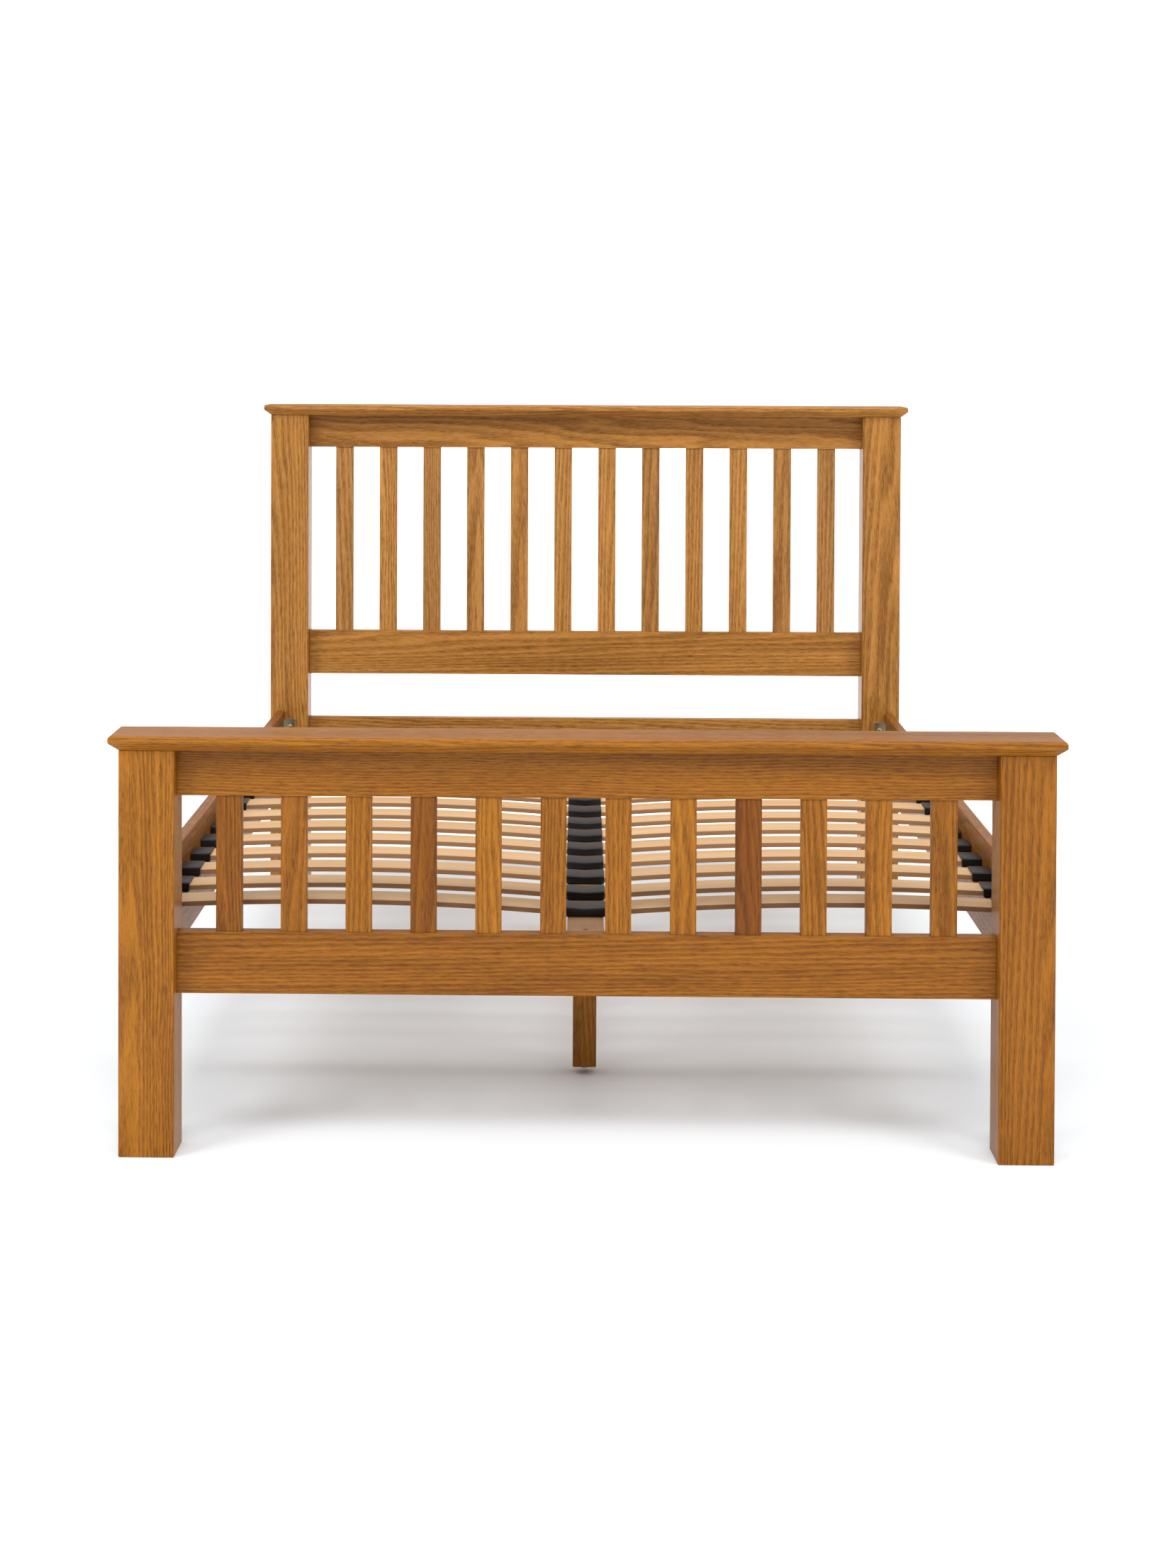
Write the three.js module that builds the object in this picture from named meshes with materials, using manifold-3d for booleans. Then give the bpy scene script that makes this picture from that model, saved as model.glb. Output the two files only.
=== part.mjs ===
// A wooden double bed frame: slatted headboard and footboard, side rails and a sprung lath base.
// Millimetres. +X is to the right as seen from the foot, +Y runs from foot to head, +Z is up.
// The origin is on the floor, under the middle of the outline of the two caps.

import * as THREE from 'three';
import { ConvexGeometry } from 'three/addons/geometries/ConvexGeometry.js';
import { mergeVertices } from 'three/addons/utils/BufferGeometryUtils.js';
import Module from 'manifold-3d';

const wasm = await Module();
wasm.setup();

// ---- Driving dimensions -------------------------------------------------------------------

// Overall: outer faces of the four posts.
const FRAME_WIDTH = 1500;
const FRAME_LENGTH = 2095;

// Gap left between two pieces that touch, and all round a tenon in its mortise.
const FIT_GAP = 0.3;
// Part of a glued-on piece that is let into the piece it is glued to.
const GLUE_OVERLAP = 0.5;

// Posts.
const POST_WIDTH = 90;
const POST_DEPTH = 85;
const FOOT_POST_HEIGHT = 656;
const HEAD_POST_HEIGHT = 1131;
const POST_EDGE_RADIUS = 3;

// Caps on top of the boards.
const CAP_THICKNESS = 24;
const CAP_OVERHANG = 15;
const CAP_TOP_RADIUS = 5;
const CAP_NOSE_HEIGHT = 6.5;

// Cross rails of the two boards. The foot rail stands a little proud of the centre rail, and the
// head's low rail lies a step below the side rails.
const BOARD_RAIL_THICKNESS = 25;
const TOP_RAIL_HEIGHT = 77;
const FOOT_RAIL_HEIGHT = 100;
const FOOT_RAIL_RISE = 1.5;
const HEAD_MIDDLE_RAIL_BOTTOM = 510;
const HEAD_MIDDLE_RAIL_HEIGHT = 103.5;
const HEAD_LOW_RAIL_HEIGHT = 120;
const HEAD_LOW_RAIL_DROP = 19;

// Tenons of the cross rails in the posts.
const RAIL_TENON_LENGTH = 30;
const RAIL_TENON_THICKNESS = 12;
const RAIL_TENON_SHOULDER = 10;

// Upright slats of the boards.
const SLAT_COUNT = 12;
const SLAT_WIDTH = 42;
const SLAT_THICKNESS = 20;
const SLAT_TENON_LENGTH = 12;
const SLAT_TENON_WIDTH = 30;
const SLAT_TENON_THICKNESS = 10;

// Side rails, and the ledger strip glued inside each, a step below the rail's top edge.
const SIDE_RAIL_TOP = 424;
const SIDE_RAIL_HEIGHT = 178;
const SIDE_RAIL_THICKNESS = 20;
const SIDE_RAIL_SETBACK = 15;
const LEDGER_WIDTH = 34;
const LEDGER_HEIGHT = 30;
const LEDGER_DROP = 57;

// Corner brackets: folded steel channel, screwed to a side rail and bolted to a post.
const BRACKET_STEEL = 2.5;
const BRACKET_HEIGHT = 110;
const BRACKET_DROP = 19;
const BRACKET_RAIL_FLANGE = 45;
const BRACKET_POST_FLANGE = 25;
const BRACKET_LIP = 14;
const BRACKET_HOLE_RADIUS = 4.25;
const BRACKET_HOLE_FROM_END = 22;
const BRACKET_LEDGER_CLEARANCE = 4;

// Centre rail, its two legs and the cleats that carry its ends.
const CENTRE_RAIL_WIDTH = 60;
const CENTRE_RAIL_HEIGHT = 40;
const CENTRE_RAIL_DROP = 10;
const CLEAT_WIDTH = 110;
const CLEAT_DEPTH = 28;
const CLEAT_HEIGHT = 30;
const CENTRE_SCREW_RADIUS = 4;
const LEG_SIDE = 42;
const LEG_BOTTOM = 14;
const LEG_FROM_FOOT = 500;
const LEG_SPACING = 1000;

// Levelling feet, wound up into the legs.
const FOOT_PAD_RADIUS = 10;
const FOOT_PAD_HEIGHT = 3.7;
const FOOT_STEM_RADIUS = 4;
const FOOT_STEM_LENGTH = 34;
const FOOT_STEM_CLEARANCE = 0.4;
const FOOT_HOLE_END_ROOM = 3;

// Sprung laths and their holders. The rooms are clear stretches of side rail between a bracket
// and the nearest holder.
const LATH_ROWS = 15;
const FOOT_HOLDER_ROOM = 28.7;
const HEAD_HOLDER_ROOM = 4.7;
const LATH_WIDTH = 52;
const LATH_THICKNESS = 8.5;
const LATH_RISE = 11;
const LATH_END_WALL = 4;
const SIDE_HOLDER_LENGTH = 36;
const CENTRE_HOLDER_LENGTH = 66;
const CENTRE_HOLDER_DIP = 2;
const HOLDER_SIDE_WALL = 3;
const HOLDER_FLOOR = 3.75;

const ROUND_SEGMENTS = 24;
const ARC_SEGMENTS = 5;
const LATH_SEGMENTS = 12;

// ---- Places worked out from the driving dimensions ------------------------------------------

const FOOT_FRONT = -FRAME_LENGTH / 2;
const BOARD_CENTRE = (FRAME_LENGTH - POST_DEPTH) / 2;
const POST_CENTRE = (FRAME_WIDTH - POST_WIDTH) / 2;
const CLEAR_WIDTH = FRAME_WIDTH - 2 * POST_WIDTH;
const SLAT_GAP = (CLEAR_WIDTH - SLAT_COUNT * SLAT_WIDTH) / (SLAT_COUNT + 1);
const SIDE_RAIL_OUTER = FRAME_WIDTH / 2 - SIDE_RAIL_SETBACK;
const SIDE_RAIL_INNER = SIDE_RAIL_OUTER - SIDE_RAIL_THICKNESS;
const SIDE_RAIL_LENGTH = FRAME_LENGTH - 2 * POST_DEPTH - 2 * FIT_GAP;
const POST_INNER_FACE = FRAME_LENGTH / 2 - POST_DEPTH;
const BRACKET_END = POST_INNER_FACE - FIT_GAP - BRACKET_RAIL_FLANGE;
const LEDGER_LENGTH = 2 * (BRACKET_END - BRACKET_LEDGER_CLEARANCE);
const BOARD_RAIL_BACK = BOARD_CENTRE - BOARD_RAIL_THICKNESS / 2;
const CENTRE_RAIL_LENGTH = 2 * (BOARD_RAIL_BACK - FIT_GAP);
const LEDGER_TOP = SIDE_RAIL_TOP - LEDGER_DROP;
const CENTRE_RAIL_TOP = LEDGER_TOP - CENTRE_RAIL_DROP;
const CENTRE_RAIL_BOTTOM = CENTRE_RAIL_TOP - CENTRE_RAIL_HEIGHT;
const FOOT_RAIL_BOTTOM = CENTRE_RAIL_TOP + FOOT_RAIL_RISE - FOOT_RAIL_HEIGHT;
const HEAD_LOW_RAIL_BOTTOM = SIDE_RAIL_TOP - HEAD_LOW_RAIL_DROP - HEAD_LOW_RAIL_HEIGHT;
const HOLDER_WIDTH = LATH_WIDTH + 2 * HOLDER_SIDE_WALL;
const HOLDER_HEIGHT = LATH_THICKNESS + 2 * HOLDER_FLOOR;
const FIRST_LATH = HOLDER_WIDTH / 2 + FOOT_HOLDER_ROOM - BRACKET_END;
const LAST_LATH = BRACKET_END - HEAD_HOLDER_ROOM - HOLDER_WIDTH / 2;
const LATH_PITCH = (LAST_LATH - FIRST_LATH) / (LATH_ROWS - 1);

// ---- Materials ------------------------------------------------------------------------------

const finish = (color, roughness, metalness = 0) => ({ color, roughness, metalness });
const OAK = finish(0xb0702f, 0.42);
const PALE_WOOD = finish(0xd9b184, 0.6);
const ZINC = finish(0xb9ad86, 0.3, 1);
const BLACK_PLASTIC = finish(0x1c1b1b, 0.55);

// ---- Helpers --------------------------------------------------------------------------------

// A block given by its size and the middle of its bottom face.
function block(width, depth, height, x, y, bottom) {
  const geometry = new THREE.BoxGeometry(width, depth, height);
  return geometry.translate(x, y, bottom + height / 2);
}

// A rod standing on its bottom end.
function rod(radius, height, x, y, bottom) {
  const geometry = new THREE.CylinderGeometry(radius, radius, height, ROUND_SEGMENTS);
  return geometry.rotateX(Math.PI / 2).translate(x, y, bottom + height / 2);
}

// An outline drawn in X and Z, made as deep as asked along Y and centred on y.
function plateAcross(outline, depth, y, curveSegments = ARC_SEGMENTS) {
  const geometry = new THREE.ExtrudeGeometry(outline, { depth, curveSegments, bevelEnabled: false });
  return geometry.rotateX(Math.PI / 2).translate(0, y + depth / 2, 0);
}

function solid(geometry) {
  const bare = geometry.clone();
  bare.deleteAttribute('normal');
  bare.deleteAttribute('uv');
  const merged = mergeVertices(bare);
  const mesh = new wasm.Mesh({
    numProp: 3,
    vertProperties: new Float32Array(merged.attributes.position.array),
    triVerts: new Uint32Array(merged.index.array),
  });
  return new wasm.Manifold(mesh);
}

function joined(first, ...others) {
  return others.reduce((sum, geometry) => sum.add(solid(geometry)), solid(first));
}

function cut(body, cutters) {
  return cutters.reduce((rest, geometry) => rest.subtract(solid(geometry)), body);
}

function named(name, body, material) {
  const { vertProperties, triVerts } = body.getMesh();
  const geometry = new THREE.BufferGeometry();
  geometry.setAttribute('position', new THREE.BufferAttribute(vertProperties, 3));
  geometry.setIndex(new THREE.BufferAttribute(triVerts, 1));
  geometry.computeVertexNormals();
  const mesh = new THREE.Mesh(geometry, new THREE.MeshStandardMaterial(material));
  mesh.name = name;
  return mesh;
}

const SIDES = [
  { side: 'left', sign: -1 },
  { side: 'right', sign: 1 },
];

// ---- Headboard and footboard, each drawn about the middle of its own thickness ----------------

const topRail = (name, postHeight) => ({
  name,
  bottom: postHeight - TOP_RAIL_HEIGHT,
  height: TOP_RAIL_HEIGHT,
});

const FOOTBOARD = {
  name: 'foot',
  postHeight: FOOT_POST_HEIGHT,
  rails: [
    topRail('foot_top_rail', FOOT_POST_HEIGHT),
    { name: 'foot_bottom_rail', bottom: FOOT_RAIL_BOTTOM, height: FOOT_RAIL_HEIGHT, cleat: 1 },
  ],
};

const HEADBOARD = {
  name: 'head',
  postHeight: HEAD_POST_HEIGHT,
  rails: [
    topRail('head_top_rail', HEAD_POST_HEIGHT),
    { name: 'head_middle_rail', bottom: HEAD_MIDDLE_RAIL_BOTTOM, height: HEAD_MIDDLE_RAIL_HEIGHT },
    {
      name: 'head_low_rail',
      bottom: HEAD_LOW_RAIL_BOTTOM,
      height: HEAD_LOW_RAIL_HEIGHT,
      cleat: -1,
    },
  ],
};

function roundedRectangle(width, depth, radius) {
  const [x, y] = [width / 2, depth / 2];
  const shape = new THREE.Shape();
  shape.absarc(x - radius, y - radius, radius, 0, Math.PI / 2);
  shape.absarc(radius - x, y - radius, radius, Math.PI / 2, Math.PI);
  shape.absarc(radius - x, radius - y, radius, Math.PI, 1.5 * Math.PI);
  shape.absarc(x - radius, radius - y, radius, 1.5 * Math.PI, 2 * Math.PI);
  return shape;
}

// The block that a rail's tenon fills, or with a gap round it, the mortise that takes the tenon.
function railTenon(rail, sign, gap) {
  const length = RAIL_TENON_LENGTH + GLUE_OVERLAP;
  const x = sign * (CLEAR_WIDTH / 2 - GLUE_OVERLAP - FIT_GAP + (length + gap) / 2);
  const height = rail.height - 2 * RAIL_TENON_SHOULDER + 2 * gap;
  const bottom = rail.bottom + RAIL_TENON_SHOULDER - gap;
  return block(length + gap, RAIL_TENON_THICKNESS + 2 * gap, height, x, 0, bottom);
}

function post(board, { side, sign }) {
  const outline = roundedRectangle(POST_WIDTH, POST_DEPTH, POST_EDGE_RADIUS);
  const timber = new THREE.ExtrudeGeometry(outline, {
    depth: board.postHeight,
    curveSegments: ARC_SEGMENTS,
    bevelEnabled: false,
  });
  timber.translate(sign * POST_CENTRE, 0, 0);
  const mortises = board.rails.map((rail) => railTenon(rail, sign, FIT_GAP));
  return named(`${board.name}_post_${side}`, cut(solid(timber), mortises), OAK);
}

// Outline of the cap at one height: the corners of a rectangle, drawn in from the cap's edge.
function capCorners(inset, z) {
  const x = FRAME_WIDTH / 2 + CAP_OVERHANG - inset;
  const y = POST_DEPTH / 2 + CAP_OVERHANG - inset;
  return [[-x, -y], [x, -y], [x, y], [-x, y]].map((corner) => new THREE.Vector3(...corner, z));
}

// Flat top, rounded top edge, upright nose, then a bevel in to the faces of the posts.
function cap(board) {
  const bottom = board.postHeight + FIT_GAP;
  const top = bottom + CAP_THICKNESS;
  const noseTop = top - CAP_TOP_RADIUS;
  const points = capCorners(CAP_OVERHANG, bottom);
  points.push(...capCorners(0, noseTop - CAP_NOSE_HEIGHT));
  for (let step = 0; step <= ARC_SEGMENTS; step += 1) {
    const angle = (step / ARC_SEGMENTS) * (Math.PI / 2);
    const inset = CAP_TOP_RADIUS * (1 - Math.cos(angle));
    points.push(...capCorners(inset, noseTop + CAP_TOP_RADIUS * Math.sin(angle)));
  }
  return named(`${board.name}_cap`, solid(new ConvexGeometry(points)), OAK);
}

const slatX = (index) =>
  -CLEAR_WIDTH / 2 + SLAT_GAP + SLAT_WIDTH / 2 + index * (SLAT_WIDTH + SLAT_GAP);

const slatIndexes = Array.from({ length: SLAT_COUNT }, (_, index) => index);

// The two rails that hold the slats are the highest two of each board.
function slatSpan(board) {
  const [upper, lower] = board.rails;
  return { bottom: lower.bottom + lower.height, top: upper.bottom };
}

// The core that runs right through a slat and ends in its two tenons.
function slatCore(board, index, gap) {
  const { bottom, top } = slatSpan(board);
  const height = top - bottom + 2 * (SLAT_TENON_LENGTH - FIT_GAP + gap);
  const width = SLAT_TENON_WIDTH + 2 * gap;
  const depth = SLAT_TENON_THICKNESS + 2 * gap;
  return block(width, depth, height, slatX(index), 0, (bottom + top - height) / 2);
}

function slat(board, index) {
  const { bottom, top } = slatSpan(board);
  const height = top - bottom - 2 * FIT_GAP;
  const face = block(SLAT_WIDTH, SLAT_THICKNESS, height, slatX(index), 0, bottom + FIT_GAP);
  const number = String(index + 1).padStart(2, '0');
  return named(`${board.name}_slat_${number}`, joined(face, slatCore(board, index, 0)), OAK);
}

// A cleat is glued to the inner face of a rail, and the end of the centre rail sits on it.
function cleat(inward) {
  const depth = CLEAT_DEPTH + GLUE_OVERLAP;
  const y = inward * (BOARD_RAIL_THICKNESS / 2 - GLUE_OVERLAP + depth / 2);
  const bottom = CENTRE_RAIL_BOTTOM - FIT_GAP - CLEAT_HEIGHT;
  return block(CLEAT_WIDTH, depth, CLEAT_HEIGHT, 0, y, bottom);
}

function boardRail(board, rail) {
  const length = CLEAR_WIDTH - 2 * FIT_GAP;
  const beam = block(length, BOARD_RAIL_THICKNESS, rail.height, 0, 0, rail.bottom);
  const parts = SIDES.map(({ sign }) => railTenon(rail, sign, 0));
  if (rail.cleat) parts.push(cleat(rail.cleat));
  const mortises = slatIndexes.map((index) => slatCore(board, index, FIT_GAP));
  return named(rail.name, cut(joined(beam, ...parts), mortises), OAK);
}

function boardGroup(board, y) {
  const group = new THREE.Group();
  group.add(...SIDES.map((end) => post(board, end)));
  group.add(...board.rails.map((rail) => boardRail(board, rail)));
  group.add(...slatIndexes.map((index) => slat(board, index)));
  group.add(cap(board));
  group.position.y = y;
  return group;
}

// ---- Side rails and corner brackets -----------------------------------------------------------

function sideRail({ side, sign }) {
  const middle = sign * (SIDE_RAIL_OUTER + SIDE_RAIL_INNER) / 2;
  const bottom = SIDE_RAIL_TOP - SIDE_RAIL_HEIGHT;
  const board = block(SIDE_RAIL_THICKNESS, SIDE_RAIL_LENGTH, SIDE_RAIL_HEIGHT, middle, 0, bottom);
  const width = LEDGER_WIDTH + GLUE_OVERLAP;
  const ledgerX = sign * (SIDE_RAIL_INNER + GLUE_OVERLAP - width / 2);
  const ledger = block(
    width, LEDGER_LENGTH, LEDGER_HEIGHT, ledgerX, 0, LEDGER_TOP - LEDGER_HEIGHT,
  );
  return named(`side_rail_${side}`, joined(board, ledger), OAK);
}

// Section in plan, for the corner where +X is the rail and +Y is the post, from that corner back.
function bracketSection() {
  const inner = BRACKET_POST_FLANGE - BRACKET_STEEL;
  const section = new THREE.Shape();
  section.moveTo(0, 0);
  section.lineTo(-BRACKET_POST_FLANGE, 0);
  section.lineTo(-BRACKET_POST_FLANGE, -BRACKET_LIP);
  section.lineTo(-inner, -BRACKET_LIP);
  section.lineTo(-inner, -BRACKET_STEEL);
  section.lineTo(-BRACKET_STEEL, -BRACKET_STEEL);
  section.lineTo(-BRACKET_STEEL, -BRACKET_RAIL_FLANGE);
  section.lineTo(0, -BRACKET_RAIL_FLANGE);
  return section;
}

// Bolt holes along Y into the post, and screw holes along X into the rail.
function bracketHoles() {
  const reach = 4 * BRACKET_STEEL;
  const heights = [BRACKET_HOLE_FROM_END, BRACKET_HEIGHT - BRACKET_HOLE_FROM_END];
  return heights.flatMap((z) => {
    const intoPost = rod(BRACKET_HOLE_RADIUS, reach, 0, 0, -reach / 2);
    intoPost.rotateX(Math.PI / 2).translate(-BRACKET_POST_FLANGE / 2, 0, z);
    const intoRail = rod(BRACKET_HOLE_RADIUS, reach, 0, 0, -reach / 2);
    intoRail.rotateY(Math.PI / 2);
    intoRail.translate(0, (BRACKET_LIP - 3 * BRACKET_RAIL_FLANGE) / 4, z);
    return [intoPost, intoRail];
  });
}

function bracket(boardName, end, { side, sign }) {
  const channel = new THREE.ExtrudeGeometry(bracketSection(), {
    depth: BRACKET_HEIGHT,
    bevelEnabled: false,
  });
  const body = cut(solid(channel), bracketHoles());
  const mirrored = sign * end < 0 ? body.mirror([1, 0, 0]) : body;
  const mesh = named(`${boardName}_bracket_${side}`, mirrored, ZINC);
  mesh.rotation.z = end < 0 ? Math.PI : 0;
  mesh.position.set(
    sign * (SIDE_RAIL_INNER - FIT_GAP),
    end * (POST_INNER_FACE - FIT_GAP),
    SIDE_RAIL_TOP - BRACKET_DROP - BRACKET_HEIGHT,
  );
  return mesh;
}

// ---- Centre rail, legs and levelling feet -----------------------------------------------------

const LEGS = [
  { name: 'front_levelling_foot', y: FOOT_FRONT + LEG_FROM_FOOT },
  { name: 'rear_levelling_foot', y: FOOT_FRONT + LEG_FROM_FOOT + LEG_SPACING },
];

function centreRail() {
  const beam = block(
    CENTRE_RAIL_WIDTH, CENTRE_RAIL_LENGTH, CENTRE_RAIL_HEIGHT, 0, 0, CENTRE_RAIL_BOTTOM,
  );
  const legHeight = CENTRE_RAIL_BOTTOM + GLUE_OVERLAP - LEG_BOTTOM;
  const legs = LEGS.map(({ y }) => block(LEG_SIDE, LEG_SIDE, legHeight, 0, y, LEG_BOTTOM));
  const holeRadius = FOOT_STEM_RADIUS + FOOT_STEM_CLEARANCE;
  const holeDepth = FOOT_STEM_LENGTH + FOOT_HOLE_END_ROOM;
  const stemHoles = LEGS.map(({ y }) =>
    rod(holeRadius, 2 * holeDepth, 0, y, LEG_BOTTOM - holeDepth));
  const screwY = CENTRE_RAIL_LENGTH / 2 - CLEAT_DEPTH / 2;
  const screwBottom = CENTRE_RAIL_BOTTOM - CENTRE_RAIL_HEIGHT / 2;
  const screwHoles = [-screwY, screwY].map((y) =>
    rod(CENTRE_SCREW_RADIUS, 2 * CENTRE_RAIL_HEIGHT, 0, y, screwBottom));
  return named('centre_rail', cut(joined(beam, ...legs), [...stemHoles, ...screwHoles]), PALE_WOOD);
}

function levellingFoot({ name, y }) {
  const padBottom = LEG_BOTTOM - FIT_GAP - FOOT_PAD_HEIGHT;
  const stemBottom = padBottom + FOOT_PAD_HEIGHT / 2;
  const pad = rod(FOOT_PAD_RADIUS, FOOT_PAD_HEIGHT, 0, y, padBottom);
  const stem = rod(FOOT_STEM_RADIUS, FOOT_STEM_LENGTH, 0, y, stemBottom);
  return named(name, joined(pad, stem), BLACK_PLASTIC);
}

// ---- Sprung laths -----------------------------------------------------------------------------

const SIDE_HOLDER_BOTTOM = LEDGER_TOP + FIT_GAP;
const CENTRE_HOLDER_BOTTOM = CENTRE_RAIL_TOP + FIT_GAP;
const HOLDER_OUTER_END = SIDE_RAIL_INNER - FIT_GAP;

// A lath bowed upwards, from its end in the centre holder to its end in a side holder.
function lath(sign, y) {
  const innerX = sign * LATH_END_WALL;
  const outerX = sign * (HOLDER_OUTER_END - LATH_END_WALL);
  const innerZ = CENTRE_HOLDER_BOTTOM + HOLDER_FLOOR;
  const outerZ = SIDE_HOLDER_BOTTOM + HOLDER_FLOOR;
  const controlX = (innerX + outerX) / 2;
  const controlZ = (innerZ + outerZ) / 2 + 2 * LATH_RISE;
  const outline = new THREE.Shape();
  outline.moveTo(innerX, innerZ);
  outline.quadraticCurveTo(controlX, controlZ, outerX, outerZ);
  outline.lineTo(outerX, outerZ + LATH_THICKNESS);
  outline.quadraticCurveTo(
    controlX, controlZ + LATH_THICKNESS, innerX, innerZ + LATH_THICKNESS,
  );
  return plateAcross(outline, LATH_WIDTH, y, LATH_SEGMENTS);
}

function sideHolder(sign, y) {
  const x = sign * (HOLDER_OUTER_END - SIDE_HOLDER_LENGTH / 2);
  return block(SIDE_HOLDER_LENGTH, HOLDER_WIDTH, HOLDER_HEIGHT, x, y, SIDE_HOLDER_BOTTOM);
}

// One holder takes the inner ends of two laths, and its top dips towards the middle.
function centreHolder(y) {
  const end = CENTRE_HOLDER_LENGTH / 2;
  const top = CENTRE_HOLDER_BOTTOM + HOLDER_HEIGHT;
  const outline = new THREE.Shape();
  outline.moveTo(-end, CENTRE_HOLDER_BOTTOM);
  outline.lineTo(end, CENTRE_HOLDER_BOTTOM);
  outline.lineTo(end, top);
  outline.lineTo(0, top - CENTRE_HOLDER_DIP);
  outline.lineTo(-end, top);
  return plateAcross(outline, HOLDER_WIDTH, y);
}

function lathRow(index) {
  const y = FIRST_LATH + index * LATH_PITCH;
  const ends = SIDES.flatMap(({ sign }) => [lath(sign, y), sideHolder(sign, y)]);
  const number = String(index + 1).padStart(2, '0');
  return named(`lath_row_${number}`, joined(centreHolder(y), ...ends), PALE_WOOD);
}

// ---- The bed ----------------------------------------------------------------------------------

const bed = new THREE.Group();
bed.add(boardGroup(FOOTBOARD, -BOARD_CENTRE));
bed.add(boardGroup(HEADBOARD, BOARD_CENTRE));
for (const end of SIDES) {
  bed.add(sideRail(end));
  bed.add(bracket('foot', -1, end));
  bed.add(bracket('head', 1, end));
}
bed.add(centreRail());
bed.add(...LEGS.map(levellingFoot));
for (let index = 0; index < LATH_ROWS; index += 1) {
  bed.add(lathRow(index));
}

export default bed;
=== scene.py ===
# %% [markdown]
# # A slatted oak double bed
# The bed is oak: two slatted boards, joined by side rails, with a sprung base of bowed beech
# laths between them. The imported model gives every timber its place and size. This file adds the
# looks: eased edges, oak and beech, moulded holders, plated brackets, bolts and screws.

import math

import bmesh
import bpy
from mathutils import Matrix, Vector


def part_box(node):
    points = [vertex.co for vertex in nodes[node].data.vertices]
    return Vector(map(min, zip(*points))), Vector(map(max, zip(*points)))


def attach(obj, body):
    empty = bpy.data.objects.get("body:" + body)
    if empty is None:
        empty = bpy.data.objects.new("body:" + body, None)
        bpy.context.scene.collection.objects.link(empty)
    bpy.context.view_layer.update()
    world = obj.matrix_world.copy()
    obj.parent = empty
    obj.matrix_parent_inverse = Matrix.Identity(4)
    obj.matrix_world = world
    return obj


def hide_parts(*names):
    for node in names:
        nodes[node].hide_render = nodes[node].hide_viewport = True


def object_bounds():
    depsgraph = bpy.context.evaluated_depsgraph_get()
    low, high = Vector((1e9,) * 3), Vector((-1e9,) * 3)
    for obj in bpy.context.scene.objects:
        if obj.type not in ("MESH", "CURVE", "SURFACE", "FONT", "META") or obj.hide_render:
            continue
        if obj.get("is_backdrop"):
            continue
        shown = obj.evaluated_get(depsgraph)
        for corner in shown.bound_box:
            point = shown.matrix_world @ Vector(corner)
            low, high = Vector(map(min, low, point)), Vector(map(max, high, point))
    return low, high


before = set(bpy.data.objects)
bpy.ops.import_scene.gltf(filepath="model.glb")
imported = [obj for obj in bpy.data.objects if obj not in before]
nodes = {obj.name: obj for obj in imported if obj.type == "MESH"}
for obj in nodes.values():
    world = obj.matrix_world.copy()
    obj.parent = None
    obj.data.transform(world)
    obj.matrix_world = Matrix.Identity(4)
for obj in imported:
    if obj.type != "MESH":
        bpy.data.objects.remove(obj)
cad_low, cad_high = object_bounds()
MM = 0.001
print("packed nodes:", len(nodes), "box:", tuple(cad_low), tuple(cad_high))

# %% [markdown]
# ## Camera
# The foot is the side to see a bed from: both boards and the base between them show. The camera
# stands four metres away, at about chest height. It could be tipped down until the bed is in the
# middle, but then the posts would lean together, so it stays within a degree or so of level and
# the lens is shifted down instead.

# %% Camera
CAMERA_FROM_FOOT = 4.0494
CAMERA_PLACE = (-0.0114, cad_low.y - CAMERA_FROM_FOOT, 1.3232)
CAMERA_TIP = math.radians(90 - 1.163)
CAMERA_TURN = math.radians(0.951)
CAMERA_ROLL = math.radians(0.212)
SENSOR_WIDTH = 36
LENS = 58.62
LENS_SHIFT = (0.03165, -0.25316)


def add_object(name, data):
    """A new object at the origin, linked to the scene."""
    made = bpy.data.objects.new(name, data)
    bpy.context.scene.collection.objects.link(made)
    return made


camera_data = bpy.data.cameras.new("camera")
camera_data.sensor_width = SENSOR_WIDTH
camera_data.lens = LENS
camera_data.shift_x, camera_data.shift_y = LENS_SHIFT
camera = add_object("camera", camera_data)
camera.matrix_world = (
    Matrix.Translation(CAMERA_PLACE)
    @ Matrix.Rotation(CAMERA_TURN, 4, "Z")
    @ Matrix.Rotation(CAMERA_TIP, 4, "X")
    @ Matrix.Rotation(CAMERA_ROLL, 4, "Z")
)
bpy.context.scene.camera = camera
print("camera at", CAMERA_PLACE, "lens", LENS, "mm")

# %% [markdown]
# ### A short way to write node trees
# Every finish and every repeated piece here is a node tree. A tree could be wired node by node,
# but it is easier to read as sums. `Wire` wraps one output socket, and the arithmetic written on
# it adds Math nodes. `Graph.add` adds any other node: its type, its settings, and the values or
# wires of its inputs.


# %% Sums on wires
class Wire:
    """One output of a node, with the arithmetic of its tree."""

    def __init__(self, graph, node, socket):
        self.graph, self.node, self.socket = graph, node, socket

    def out(self, name):
        return Wire(self.graph, self.node, self.node.outputs[name])

    def _math(self, operation, first, second=0.0):
        inputs = {0: first, 1: second}
        return self.graph.add("ShaderNodeMath", {"operation": operation}, inputs)

    def __add__(self, other):
        return self._math("ADD", self, other)

    def __radd__(self, other):
        return self._math("ADD", other, self)

    def __sub__(self, other):
        return self._math("SUBTRACT", self, other)

    def __rsub__(self, other):
        return self._math("SUBTRACT", other, self)

    def __mul__(self, other):
        return self._math("MULTIPLY", self, other)

    def __rmul__(self, other):
        return self._math("MULTIPLY", other, self)

    def __truediv__(self, other):
        return self._math("DIVIDE", self, other)

    def __pow__(self, other):
        return self._math("POWER", self, other)


print("wires ready")


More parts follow.
